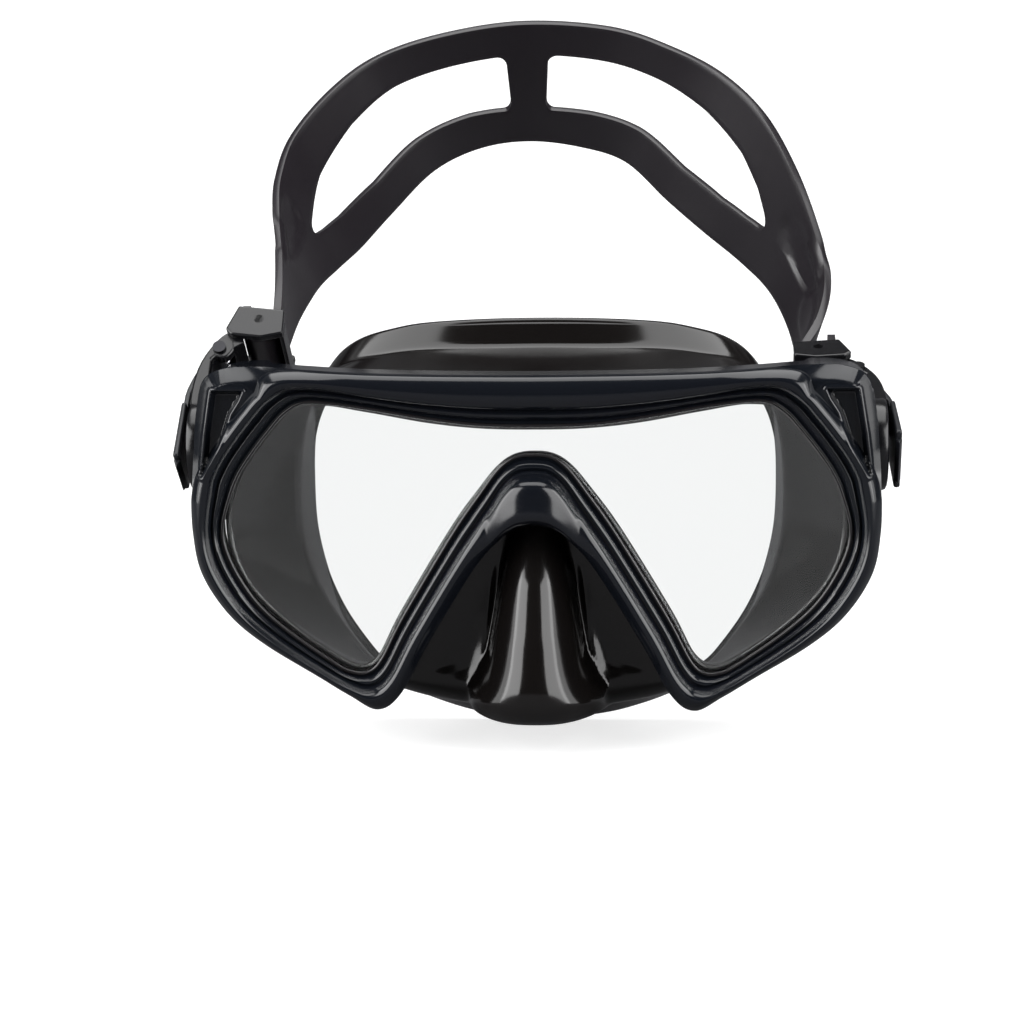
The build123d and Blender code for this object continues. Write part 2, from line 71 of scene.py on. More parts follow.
def closed_run(half, samples, mirrored=(0,), fine=None):
    """Smooth closed run through stations and their mirror images.

    Each span has this many samples, and three times as many from the first to the last fine span.
    Values whose places are in mirrored change sign on the other half.
    """
    corners = list(half)
    corners += [tuple(-v if k in mirrored else v for k, v in enumerate(p)) for p in half[-2:0:-1]]
    count = len(corners)
    run = []
    for i in range(count):
        span = i if i < len(half) else count - 1 - i
        steps = 3 * samples if fine and fine[0] <= span < fine[1] else samples
        quad = [corners[(i + k) % count] for k in (-1, 0, 1, 2)]
        run += [blend4(*quad, step / steps) for step in range(steps)]
    return run


def ease(t):
    """Smooth step from 0 to 1 while t runs from 0 to 1."""
    t = max(0.0, min(1.0, t))
    return t * t * (3 - 2 * t)


def bell(offset):
    """Round bump: 1 at no offset, falling off on both sides."""
    return 2.718 ** (-offset ** 2)


def lerp_table(table, x):
    """Value read from (x, value) pairs, straight between them and level beyond the ends."""
    if x <= table[0][0]:
        return table[0][1]
    for (x0, v0), (x1, v1) in zip(table, table[1:]):
        if x <= x1:
            return v0 + (v1 - v0) * (x - x0) / (x1 - x0)
    return table[-1][1]


# ---- mesh helpers ----
def new_object(name, verts, faces, smooth=True):
    """Object from points in millimetres."""
    mesh = bpy.data.meshes.new(name)
    mesh.from_pydata([Vector(v) * MM for v in verts], [], faces)
    mesh.update()
    obj = bpy.data.objects.new(name, mesh)
    bpy.context.scene.collection.objects.link(obj)
    for polygon in mesh.polygons:
        polygon.use_smooth = smooth
    return obj


def grid_faces(rows, columns, close_rows=False, close_columns=False, skip=None):
    """Quads of a grid stored row by row, without those that skip(row, column) leaves out."""
    faces = []
    for r in range(rows if close_rows else rows - 1):
        for c in range(columns if close_columns else columns - 1):
            if skip and skip(r, c):
                continue
            r1, c1 = (r + 1) % rows, (c + 1) % columns
            faces.append((r * columns + c, r * columns + c1, r1 * columns + c1, r1 * columns + c))
    return faces


def outward(obj):
    """Turns every closed shell's faces outwards."""
    bm = bmesh.new()
    bm.from_mesh(obj.data)
    bmesh.ops.recalc_face_normals(bm, faces=bm.faces)
    bm.to_mesh(obj.data)
    bm.free()
    return obj


def bevel(obj, width, segments, angle=35):
    """Rounds the edges that are sharper than the angle."""
    mod = obj.modifiers.new("edges", "BEVEL")
    mod.width = width * MM
    mod.segments = segments
    mod.limit_method = "ANGLE"
    mod.angle_limit = radians(angle)
    return obj


def sharp_shading(obj, angle):
    """Marks edges sharper than the angle, so that smooth shading keeps them."""
    obj.data.set_sharp_from_angle(angle=radians(angle))


def paint_with(obj, material):
    """Gives the object this one material."""
    obj.data.materials.clear()
    obj.data.materials.append(material)


def place(obj, body, material, slot, *nodes):
    """Paints a piece, declares its body and hides the CAD nodes that it replaces; slot is not used."""
    paint_with(obj, material)
    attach(obj, body)
    if nodes:
        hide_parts(*nodes)


# ---- materials ----
def shader(name, color, roughness, **sockets):
    """Principled material; the sockets are set by name."""
    material = bpy.data.materials.new(name)
    material.use_nodes = True
    node = material.node_tree.nodes["Principled BSDF"]
    node.inputs["Base Color"].default_value = (*color, 1)
    node.inputs["Roughness"].default_value = roughness
    for key, value in sockets.items():
        node.inputs[key.replace("_", " ")].default_value = value
    return material


def grained(name, color, rough, scale, bump, distance, **sockets):
    """Principled material with a fine procedural grain.

    rough is the middle, lower and upper roughness. scale is the noise's, bump its strength, and distance
    its height in millimetres.
    """
    middle, lowest, highest = rough
    material = shader(name, color, middle, **sockets)
    nodes, links = material.node_tree.nodes, material.node_tree.links
    principled = nodes["Principled BSDF"]
    coords = nodes.new("ShaderNodeTexCoord")
    noise = nodes.new("ShaderNodeTexNoise")
    noise.inputs["Scale"].default_value = scale
    noise.inputs["Detail"].default_value = 3.0
    links.new(coords.outputs["Object"], noise.inputs["Vector"])
    bumper = nodes.new("ShaderNodeBump")
    bumper.inputs["Strength"].default_value = bump
    bumper.inputs["Distance"].default_value = distance * MM
    links.new(noise.outputs["Fac"], bumper.inputs["Height"])
    links.new(bumper.outputs["Normal"], principled.inputs["Normal"])
    spread = nodes.new("ShaderNodeMapRange")
    spread.inputs["To Min"].default_value = lowest
    spread.inputs["To Max"].default_value = highest
    links.new(noise.outputs["Fac"], spread.inputs["Value"])
    links.new(spread.outputs["Result"], principled.inputs["Roughness"])
    return material


frame_black = grained("frame_black", (0.0045, 0.0055, 0.008), (0.16, 0.13, 0.19), 900, 0.03, 0.02)
buckle_black = grained("buckle_black", (0.004, 0.004, 0.005), (0.2, 0.17, 0.25), 900, 0.05, 0.03)
lever_black = grained("lever_black", (0.01, 0.011, 0.014), (0.3, 0.26, 0.36), 900, 0.06, 0.03)
skirt_silicone = grained("skirt_silicone", (0.0045, 0.0038, 0.0036), (0.14, 0.11, 0.17), 300, 0.03, 0.06)
strap_silicone = grained("strap_silicone", (0.012, 0.0098, 0.0125), (0.3, 0.27, 0.33), 400, 0.04, 0.04)
gasket_silicone = grained("gasket_silicone", (0.01, 0.009, 0.01), (0.2, 0.17, 0.24), 500, 0.04, 0.05)
ring_matte = grained("ring_matte", (0.012, 0.012, 0.013), (0.45, 0.4, 0.5), 800, 0.06, 0.03)
roller_matte = grained("roller_matte", (0.014, 0.014, 0.015), (0.4, 0.36, 0.45), 800, 0.06, 0.03)
steel = grained("steel", (0.55, 0.55, 0.57), (0.25, 0.2, 0.3), 600, 0.03, 0.02, Metallic=1.0)
black_steel = grained("black_steel", (0.035, 0.035, 0.038), (0.3, 0.25, 0.35), 600, 0.03, 0.02, Metallic=1.0)
lens_glass = shader("lens_glass", (0.91, 0.922, 0.92), 0.0, Transmission_Weight=1.0, IOR=1.45)


# ---- frame: beads round the lens, brow, nose arch and wings in one closed surface ----
# Forward height over the lens plane against distance from the opening, out to the main bead's inner foot.
INNER_BEADS = [(0.0, 0.05), (0.12, 0.5), (0.4, 0.75), (0.75, 0.6), (0.95, 0.4), (1.15, 0.6), (1.5, 1.4),
               (1.95, 1.95), (2.5, 2.2), (3.0, 2.1), (3.35, 1.75), (3.55, 1.5), (3.7, 1.6)]
# Where the frame is narrower than this, the inner beads are squeezed in proportion.
FULL_BEAD_WIDTH = 10.5
# The main bead: how far its crest stands over the line between its feet.
BEAD_RISE = 3.6
# Height of the frame's edge over the lens plane, and how much higher the wings lie.
EDGE_HEIGHT, WING_RISE = 1.6, 1.0
# Distance from the opening to the main bead's outer foot on the wings.
WING_FOOT = 8.6
NOSE_SWELL, NOSE_HALF_WIDTH = 3.8, 11.2
# The wing's edge falls away over this width, by this much.
WING_FILLET, WING_DROP = 3.8, 3.5
# How much of a wing each station of the rim has.
WING_SHARE = [0] * 6 + [0.45, 1, 1, 1, 1, 0.5, 0.08] + [0] * 13
# Recess on each wing: its corners in (x, z), its depth and the height of the lip round it.
RECESS = [(71.2, 29), (78.6, 29), (80.4, 18), (81.6, 8.6), (81.2, 8.4), (77.0, 15.6), (74.3, 23.6),
          (72.2, 26.8)]
RECESS_DEPTH, RECESS_LIP = 3.0, 0.3
# The wing's side wall reaches this far round the pivot, and at its top at least to this depth.
WING_TAIL, WING_TOP_REAR_Y = 19.3, -26.5
# Behind its front lip the wall stays inside this width, within this distance of the pivot.
WING_SIDE_X, HUB_ROOM = 82.2, 26.0
WING_WALL, PLAIN_WALL = 3.2, 1.6
LENS_POCKET, POCKET_WALL = 3.4, 0.8
# Steps of the mesh across the bead, across the wing's panel and back along the side.
BEAD_STEPS, PANEL_STEPS, SIDE_STEPS = 18, 44, 26


def inside_depth(x, z, corners):
    """Distance from a point to a closed outline: positive inside it, negative outside."""
    best = float("inf")
    inside = False
    count = len(corners)
    for i in range(count):
        (x0, z0), (x1, z1) = corners[i], corners[(i + 1) % count]
        ex, ez = x1 - x0, z1 - z0
        t = max(0, min(1, ((x - x0) * ex + (z - z0) * ez) / (ex * ex + ez * ez)))
        best = min(best, hypot(x - x0 - t * ex, z - z0 - t * ez))
        if (z0 > z) != (z1 > z) and x < x0 + ex * (z - z0) / ez:
            inside = not inside
    return best if inside else -best


def wing_rear(x, z):
    """How far back the frame's side wall runs at a point of its edge."""
    x = abs(x)
    reach = PIVOT[0] + sqrt(max(0.0, WING_TAIL ** 2 - (z - PIVOT[1]) ** 2))
    if z > 28:
        reach = max(reach, WING_TOP_REAR_Y)
    near = ease((x - 65.5) / 2.5) * ease((z + 9) / 4)
    return FRAME_REAR_Y + (max(reach, FRAME_REAR_Y) - FRAME_REAR_Y) * near


def wing_outline():
    """The wing's own edge, closed off well inside the lens opening."""
    first, last, samples = 3, 15, 4
    edge = closed_run([outer for _, outer in RIM], samples)
    return [tuple(p) for p in edge[first * samples:last * samples]] + [(40, -20), (40, 10)]


WING_EDGE = wing_outline()


def bead_arch(t, brow, nose):
    """Share of the main bead's rise at t between its feet: fuller on the brow, flat-topped on the nose."""
    arch = sin(pi * t ** 0.85) ** (0.85 - 0.5 * brow) if t < 1 else 0.0
    flat_topped = 1 - abs(2 * t - 1) ** 6
    return arch + (flat_topped - arch) * nose


def recess_height(x, z, wing):
    """Height lost to the recess at a point of the wing, negative on the lip round it."""
    depth = inside_depth(abs(x), z, RECESS)
    sunk = RECESS_DEPTH * ease((depth + 0.2) / 1.0)
    return min(1, 2 * wing) * (sunk - RECESS_LIP * bell((depth + 0.6) / 0.4))


def frame_front(inner, outer, wing, brow):
    """Front of one cross-section, from a point of the opening to the matched point of the frame's edge."""
    ax, az = inner
    ox, oz = outer
    width = hypot(ox - ax, oz - az)
    ux, uz = (ox - ax) / width, (oz - az) / width
    squeeze = min(1.0, width / FULL_BEAD_WIDTH)
    nose = ease((22 - abs(oz - 2)) / 15) * ease((18 - abs(ox)) / 8)
    rows = []

    def put(distance, height):
        x, z = ax + ux * distance, az + uz * distance
        if wing > 0:
            height -= recess_height(x, z, wing)
        rows.append((x, LENS_Y - height, z))

    for distance, height in INNER_BEADS:
        put(distance * squeeze, height)
    start, start_height = INNER_BEADS[-1][0] * squeeze, INNER_BEADS[-1][1]
    foot = width + (min(width, WING_FOOT) - width) * wing
    edge_height = EDGE_HEIGHT + WING_RISE * wing
    for k in range(1, BEAD_STEPS + 1):
        t = k / BEAD_STEPS
        arch = bead_arch(t, brow, nose)
        distance = start + (foot - start) * t
        base = start_height + (edge_height - start_height) * t
        from_middle = (ax + ux * distance) / NOSE_HALF_WIDTH
        swell = nose * arch * (NOSE_SWELL * max(0.0, 1 - from_middle ** 2) + t)
        put(distance, base + BEAD_RISE * arch + swell)
    for k in range(1, PANEL_STEPS + 1):
        t = k / PANEL_STEPS
        distance = foot + (width - foot) * t
        depth = WING_FILLET
        if wing > 0:
            depth = inside_depth(abs(ax + ux * distance), az + uz * distance, WING_EDGE)
        to_edge = min(1.0, max(0.0, 1 - depth / WING_FILLET))
        put(distance, edge_height - wing * WING_DROP * to_edge ** 1.25)
    return rows


def frame_side(front, rear, ox, oz):
    """Side wall at one point of the frame's edge, set in where the buckle's hub turns."""
    rows = []
    for k in range(1, SIDE_STEPS + 1):
        y = front + (rear - front) * k / SIDE_STEPS
        to_pivot = hypot(y - PIVOT[0], oz - PIVOT[1])
        behind_lip = ease((y - front - 0.3) / 0.6) * ease((HUB_ROOM + 0.8 - to_pivot) / 3.0)
        behind_frame = ease((y - FRAME_REAR_Y) / 0.8)
        inset = max(0.0, abs(ox) - WING_SIDE_X) * max(behind_lip, behind_frame)
        rows.append((ox - inset * (1 if ox > 0 else -1), y, oz))
    return rows


def frame_back(inner, edge, direction, rear, length):
    """Back of one cross-section: over the wall's rear edge and round the pocket that holds the lens."""
    ax, az = inner
    ex, ez = edge
    nx, nz = direction
    wall = WING_WALL if rear > FRAME_REAR_Y + 0.5 else PLAIN_WALL
    foot = wall + 0.1
    pocket = min(LENS_POCKET, length - wall - POCKET_WALL)
    return [(ex - nx * wall, rear, ez - nz * wall), (ex - nx * foot, FRAME_REAR_Y, ez - nz * foot),
            (ax + nx * pocket, FRAME_REAR_Y, az + nz * pocket), (ax + nx * pocket, LENS_Y, az + nz * pocket),
            (ax, LENS_Y, az)]


def frame_section(ax, az, ox, oz, wing):
    """Closed cross-section of the frame from the opening's point (ax, az) to the edge's point (ox, oz)."""
    wing = max(0.0, min(1.0, wing))
    brow = ease((az - 14) / 6) * ease((52 - abs(ax)) / 14)
    length = hypot(ox - ax, oz - az)
    direction = (ox - ax) / length, (oz - az) / length
    rear = wing_rear(ox, oz)
    front_rows = frame_front((ax, az), (ox, oz), wing, brow)
    side_rows = frame_side(front_rows[-1][1], rear, ox, oz)
    return front_rows + side_rows + frame_back((ax, az), (side_rows[-1][0], oz), direction, rear, length)


rim_stations = [(*inner, *outer, share) for (inner, outer), share in zip(RIM, WING_SHARE)]
frame_sections = [frame_section(*station) for station in closed_run(rim_stations, 12, (0, 2), (6, 14))]
frame_faces = grid_faces(len(frame_sections), len(frame_sections[0]), True, True)
frame_shell = new_object("frame_shell", [p for section in frame_sections for p in section], frame_faces)
outward(frame_shell)
sharp_shading(frame_shell, 50)
place(frame_shell, "mask", frame_black, "frame", "frame")


# ---- lens, and the gasket's lip seen round it ----
# The pane reaches this far behind the frame's opening, less at its chamfered edges.
LENS_OVERLAP, LENS_CHAMFER = 3.1, 0.4
# Gasket lip: distance from the opening and y.
GASKET_PROFILE = [(0.05, LENS_Y + 0.1), (-0.4, LENS_Y - 0.05), (-0.6, LENS_Y - 0.45), (-0.4, LENS_Y - 0.85),
                  (0.25, LENS_Y - 1.0)]


def offset_run(points, grow):
    """Closed run of (x, z) points moved outwards by grow."""
    moved = []
    for i, (x, z) in enumerate(points):
        back, ahead = points[i - 1], points[(i + 1) % len(points)]
        dx, dz = ahead[0] - back[0], ahead[1] - back[1]
        length = hypot(dx, dz)
        moved.append((x - grow * dz / length, z + grow * dx / length))
    return moved


def opening_rings(profile):
    """Rings of points round the lens opening, one for each (distance, y) of the profile."""
    return [(x, y, z) for grow, y in profile for x, z in offset_run(opening, grow)]


opening = closed_run([inner for inner, _ in RIM], 10)
ring_size = len(opening)
lens_profile = [(LENS_OVERLAP - LENS_CHAMFER, LENS_Y), (LENS_OVERLAP, LENS_Y + LENS_CHAMFER),
                (LENS_OVERLAP, LENS_Y + LENS_THICKNESS - LENS_CHAMFER),
                (LENS_OVERLAP - LENS_CHAMFER, LENS_Y + LENS_THICKNESS)]
lens_faces = grid_faces(len(lens_profile), ring_size, False, True)
lens_faces.append(tuple(range(ring_size)))
lens_faces.append(tuple(range(3 * ring_size, 4 * ring_size))[::-1])
lens_pane = outward(new_object("lens_pane", opening_rings(lens_profile), lens_faces, False))
place(lens_pane, "mask", lens_glass, "lens", "lens")

gasket_faces = grid_faces(len(GASKET_PROFILE), ring_size, True, True)
gasket = outward(new_object("lens_gasket", opening_rings(GASKET_PROFILE), gasket_faces))
place(gasket, "mask", gasket_silicone, "skirt")


# ---- skirt: collar, web, shell, rolled lip and nose pocket in one sheet ----
# Stations round the right half: collar, front corner, middle, rear, edge of the inner lip, all (x, z).
SKIRT = [
    ((0, 20.4), (0, 27.5), (0, 37), (0, 45.3), (0, 38)),
    ((13, 20.7), (14, 27.6), (15, 36.8), (15, 45), (15, 37.6)),
    ((26, 22.1), (28, 27.8), (30, 36.5), (30, 44), (30, 36.5)),
    ((41, 24.8), (43, 27.9), (40, 35.2), (39, 42.4), (37, 35)),
    ((53, 26.5), (56, 28), (49.5, 32.9), (48, 39.6), (44, 33.2)),
    ((62.4, 24.3), (66, 25.8), (56.8, 27.7), (54.6, 34.8), (51.3, 28.8)),
    ((70.8, 14.8), (73, 18.8), (60.6, 21), (59.6, 26.5), (56.8, 21)),
    ((74.8, 7), (76.4, 9.5), (62.5, 13), (62.2, 14.5), (59.6, 13.5)),
    ((76.8, -2), (77.8, -1), (63.4, 2), (62.9, 3), (61, 3)),
    ((75.6, -12.6), (76.8, -12.2), (62.9, -11), (62.3, -11), (60.2, -11)),
    ((71, -21.6), (71.8, -22), (59.6, -23), (59.3, -24), (57, -22.5)),
    ((62, -30.5), (62.7, -31.2), (54.5, -32), (55, -35), (52, -33)),
    ((50, -39), (50.6, -39.9), (47, -42), (48, -46), (45, -42.5)),
    ((43.5, -41.4), (42.5, -42.9), (42, -46.5), (43, -50.6), (41, -46.3)),
    ((38.3, -38.5), (35, -44.8), (37, -49.7), (37.5, -53.8), (36, -49.6)),
    ((32.4, -27.3), (27, -46.2), (29, -53), (30, -57), (28, -52.8)),
    ((20, -6.8), (18, -47.2), (20, -54.9), (20, -60), (19, -54.4)),
    ((12.6, 3.4), (10, -47.8), (11, -56.5), (11, -61.5), (10.5, -55.5)),
    ((8.1, 8.8), (5.5, -48), (6, -56.9), (6, -61.9), (5.5, -55.9)),
    ((4.3, 11.3), (2.5, -48), (3, -57), (3, -62), (2.8, -56)),
    ((0, 11.8), (0, -48), (0, -57), (0, -62), (0, -56))]
# The face as an upright cylinder, which the rear lips follow.
FACE_RADIUS, FACE_FRONT_Y = 244.0, -8.0
COLLAR_Y = (-42.4, -40.5, -38.6)
WEB_Y = -36.8
# The shell's middle stands this far back, and further by this much on the brow.
SHELL_MIDDLE_Y, BROW_SETBACK = -16, 5
# The rear edge is pulled in by this much towards this height, to leave room for the rolled lip.
LIP_ROLL, LIP_CENTRE_Z = 1.0, -8
# Rolled lip: share of the way to the inner lip's edge, and how far it stands out towards the wearer.
LIP_CURL = [(0.05, 0.45), (0.18, 0.7), (0.4, 0.55), (0.7, 0.2), (1.0, -0.6)]
SKIRT_WALL = 1.5
# Nose ridge down its middle: height and front.
NOSE_RIDGE = [(-60, -57), (-48, -59.0), (-44, -59.2), (-32, -56.6), (-18, -50.8), (-8, -44.4), (-2, -40.2),
              (5, -38.2), (13, -37.6)]
# Its underside back to the shell: share of the way, y and z.
NOSE_UNDER = [(0, -59.0, -48), (0.08, -58.3, -50.6), (0.17, -56, -52.4), (0.3, -50.5, -53.6),
              (0.45, -43, -54.2), (0.65, -33, -54.8), (0.85, -22, -55.9), (1, -16, -57)]
# Half widths of the ridge and of the wider flank it stands on, by height.
RIDGE_WIDTH = [(-60, 18), (-48, 17.4), (-44, 14.4), (-38, 12.2), (-22, 9.2), (-8, 6.6), (5, 3), (13, 2)]
FLANK_WIDTH = [(-60, 33), (-45, 27), (-32, 20.5), (-18, 13.5), (-8, 8.8), (5, 5), (13, 3)]
RIDGE_SHARE = 0.85
# Flutes: x at the toe, spread, height of the start, height of the toe, depth.
FLUTES = [(-12.6, 1.0, -12, -44.8, 1.3), (-18.5, 2.2, -28, -44.5, 0.5), (12.8, 0.9, -12, -44.6, 1.2),
          (18.8, 2.1, -26, -43.5, 0.6), (25.0, 2.2, -34, -43.0, 0.4), (-24.5, 2.2, -34, -43.2, 0.4)]
WEB_STEPS, SHELL_STEPS, REAR_STEPS = 40, 22, 8


def face_y(x):
    """Where the face stands at x."""
    return FACE_FRONT_Y + FACE_RADIUS - sqrt(FACE_RADIUS ** 2 - x * x)


def nose_share(x, z):
    """How much of the nose pocket's depth stands at a point: a round ridge on a wider flank."""
    ridge = abs(x) / lerp_table(RIDGE_WIDTH, z)
    flank = abs(x) / lerp_table(FLANK_WIDTH, z)
    share = 0.0
    if ridge < 1:
        share += RIDGE_SHARE * (1 - ridge ** 2.4) ** 0.5
    if flank < 1:
        share += (1 - RIDGE_SHARE) * (0.5 + 0.5 * cos(pi * flank))
    return share


def folds(x, z):
    """Depth of the flutes beside the ridge; each ends in a round toe above the rim."""
    depth = 0.0
    for centre, spread, top, toe, amount in FLUTES:
        line = centre * (0.72 + 0.28 * (z - top) / (toe - top))
        reach = ease((top - z) / 9) * ease((z - toe) / 1.6)
        depth += amount * reach * bell((x - line) / spread)
    return depth


def under_line(t):
    """Point (y, z) at t on the underside of the nose pocket, from the ridge back to the shell."""
    y = lerp_table([(share, y) for share, y, _ in NOSE_UNDER], t)
    z = lerp_table([(share, z) for share, _, z in NOSE_UNDER], t)
    return y, z


def web_rows(collar, front):
    """Collar behind the lens, and the web from it out to the front corner, with ridge and flutes."""
    cx, cz = collar
    fx, fz = front
    rows = [(cx, y, cz) for y in COLLAR_Y]
    for k in range(WEB_STEPS + 1):
        t = k / WEB_STEPS
        x, z = cx + (fx - cx) * t, cz + (fz - cz) * t
        ridge_y = lerp_table(NOSE_RIDGE, z)
        y = WEB_Y + (ridge_y - WEB_Y) * nose_share(x, z) * ease(min(1.0, 5 * t)) + folds(x, z)
        rows.append((x, y - 0.9 * (1 - ease(4 * t)), z))
    return rows


def shell_rows(front, middle, y_mid):
    """Shell from the front corner back to its middle, drawn to the nose pocket's underside at the nose."""
    fx, fz = front
    mx, mz = middle
    share = nose_share(fx, fz)
    rows = []
    for k in range(1, SHELL_STEPS + 1):
        t = k / SHELL_STEPS
        x, z = fx + (mx - fx) * t, fz + (mz - fz) * t
        y = WEB_Y + (y_mid - WEB_Y) * t
        if fz < -40:
            under_y, under_z = under_line(t)
            y += (under_y - y) * share
            z += (under_z - (-48 - 9 * t)) * share
        swell = 2.2 * sin(pi * t ** 0.7) * (1 - share) * ease((-38 - fz) / 6)
        rows.append((x, y + sin(pi * t), z - swell))
    return rows


def rear_rows(middle, rear, lip, y_mid):
    """Rear of the shell and the lip that rolls inwards on the face."""
    mx, mz = middle
    rear_x, rear_z = rear
    lx, lz = lip
    y_end, y_lip = face_y(rear_x), face_y(lx)
    reach = hypot(rear_x, rear_z - LIP_CENTRE_Z)
    ex, ez = rear_x * (1 - LIP_ROLL / reach), rear_z - (rear_z - LIP_CENTRE_Z) * LIP_ROLL / reach
    rows = []
    for k in range(1, REAR_STEPS + 1):
        t = k / REAR_STEPS
        rows.append((mx + (ex - mx) * t, y_mid + (y_end - y_mid) * t, mz + (ez - mz) * t))
    for t, lift in LIP_CURL:
        rows.append((ex + (lx - ex) * t, y_end + (y_lip - y_end) * t + lift, ez + (lz - ez) * t))
    return rows


def skirt_section(collar, front, middle, rear, lip):
    """One section of the skirt sheet, from the collar at the lens back to the lip."""
    y_mid = SHELL_MIDDLE_Y + BROW_SETBACK * ease((middle[1] - 20) / 17)
    return web_rows(collar, front) + shell_rows(front, middle, y_mid) + rear_rows(middle, rear, lip, y_mid)


skirt_stations = [tuple(v for pair in row for v in pair) for row in SKIRT]
skirt_sections = []
for values in closed_run(skirt_stations, 12, (0, 2, 4, 6, 8)):
    skirt_sections.append(skirt_section(*(values[k:k + 2] for k in range(0, 10, 2))))
skirt_rows = list(zip(*skirt_sections))
skirt_faces = grid_faces(len(skirt_rows), len(skirt_sections), False, True)
skirt_sheet = new_object("skirt_sheet", [p for row in skirt_rows for p in row], skirt_faces)
smoother = skirt_sheet.modifiers.new("smooth", "SMOOTH")
smoother.factor = 0.5
smoother.iterations = 3
skirt_wall = skirt_sheet.modifiers.new("wall", "SOLIDIFY")
skirt_wall.thickness = SKIRT_WALL * MM
skirt_wall.offset = -1
place(skirt_sheet, "mask", skirt_silicone, "skirt", "skirt")


# ---- strap: a split band with a centre bar, folded round a roller at each end ----
STRAP_THICKNESS = 2.0
# The band's two edges from the left roller to the right one, as (x, y, z).
UPPER_EDGE = [
    (-67.5, -10.5, 53.5), (-68.5, -3.5, 62.5), (-70, 3, 72), (-70.5, 11, 80.5), (-68, 23, 91.5),
    (-59, 37, 104), (-47.5, 47.5, 113), (-29.5, 54, 119), (-7.5, 57, 122), (16.5, 54.5, 120),
    (33.5, 48, 114), (47, 40, 106.5), (58, 31.5, 95.5), (66, 26, 81), (71.5, 21, 66),
    (74.5, 15.5, 53.5), (72.5, 7, 43.5)]
LOWER_EDGE = [
    (-65.5, 3, 42.5), (-63.5, 11.5, 47.5), (-61.5, 21, 51.5), (-58, 31.5, 55.5), (-53.5, 44, 60.5),
    (-46.5, 58.5, 69.5), (-35.5, 72, 81.5), (-22.5, 79, 88), (-8, 81.5, 90), (7.5, 79, 88),
    (20.5, 74, 83.5), (32.5, 62, 72.5), (42.5, 53.5, 64), (52.5, 47, 56), (60.5, 39.5, 48),
    (65.5, 29, 38), (67.5, 16, 28)]
# Places along the band are stations: the number of an edge point, with fractions between points.
# The hole: its stations, and the shares of the band's width where it starts and ends at each.
HOLE_STATIONS = [3.9, 4.4, 5, 6, 7, 8, 9, 10, 11, 12, 13, 13.6, 14.1]
HOLE_FOOT = [0.385, 0.33, 0.29, 0.26, 0.28, 0.29, 0.27, 0.29, 0.29, 0.27, 0.29, 0.33, 0.385]
HOLE_HEAD = [0.475, 0.555, 0.645, 0.72, 0.745, 0.745, 0.745, 0.745, 0.745, 0.73, 0.68, 0.60, 0.475]
# The centre bar runs between these stations.
BAR = (8.72, 9.28)
# Radius in stations of the hole's corners at the bar and at its ends, and how much width each takes.
BAR_CORNER, BAR_CORNER_DEPTH = 0.13, 0.075
END_CORNER, END_CORNER_DEPTH = 0.17, 0.045
# Beyond the hole the mesh's lines across the band ease to these shares over this many stations.
CALM_SHARES, CALM_LENGTH = (0.36, 0.64), 3.0
# Pads where the two bands meet: station, share of the width, spread along and across, height.
PADS = [(15.2, 0.66, 0.95, 0.22, 1.0), (15.55, 0.86, 0.5, 0.1, -0.9), (16.35, 0.5, 0.5, 0.28, -0.6),
        (3.0, 0.72, 0.95, 0.2, 0.9), (2.35, 0.88, 0.6, 0.1, -0.7)]
PAD_LIFT = 0.8
# On a buckle: (a, b) of the roller, radius of the strap's bend round it, half width of the tail, where the
# strap leaves the buckle, and where each tail ends.
ROLLER = (70.9, 31.0)
BEND = 3.9
TAIL_HALF = 8.4
STRAP_START_B = 36.0
FREE_END = {-1: 37.0, 1: 43.0}
# Steps of the mesh across each band, across the hole and along each span.
BAND_STEPS, HOLE_STEPS, SPAN_STEPS = 8, 6, 12
# Extra lines of the mesh this far from each end of the hole and of the bar, in stations.
CLOSE_LINES = (0.008, 0.025, 0.05, 0.08, 0.11, 0.14, 0.17)
# Grip ribs on the outside of each tail: spacing, half width, and profile in (a, b) from the rib's foot.
RIB_SPACING, RIB_HALF = 3, 6.5
RIB_PROFILE = [(-0.4, 0), (0.45, 0.25), (0.5, 0.7), (-0.4, 2.1)]


def on_buckle(side, a, b, c):
    """Point on a buckle: a outwards along the pivot axis, b backwards from it, c across."""
    t = radians(TILT[side])
    return Vector((side * a, PIVOT[0] + b * cos(t) - c * sin(t), PIVOT[1] + b * sin(t) + c * cos(t)))


def width_direction(side):
    """Direction across a buckle and its strap."""
    t = radians(TILT[side])
    return Vector((0, -sin(t), cos(t)))


def edge_run(edge, c):
    """One edge of the band with its starts on the two buckles added."""
    left, right = (tuple(on_buckle(side, RUN_A, STRAP_START_B, c)) for side in (-1, 1))
    return [left] + edge + [right]


# Where the strap runs on the buckle, towards the head.
RUN_A = ROLLER[0] - BEND
upper_run = edge_run(UPPER_EDGE, TAIL_HALF)
lower_run = edge_run(LOWER_EDGE, -TAIL_HALF)
last_station = len(upper_run) - 1


def along(line, station):
    """Point of an edge at a station."""
    i = min(int(station), last_station - 1)
    quad = [line[max(0, min(last_station, i + k))] for k in (-1, 0, 1, 2)]
    return Vector(blend4(*quad, station - i))


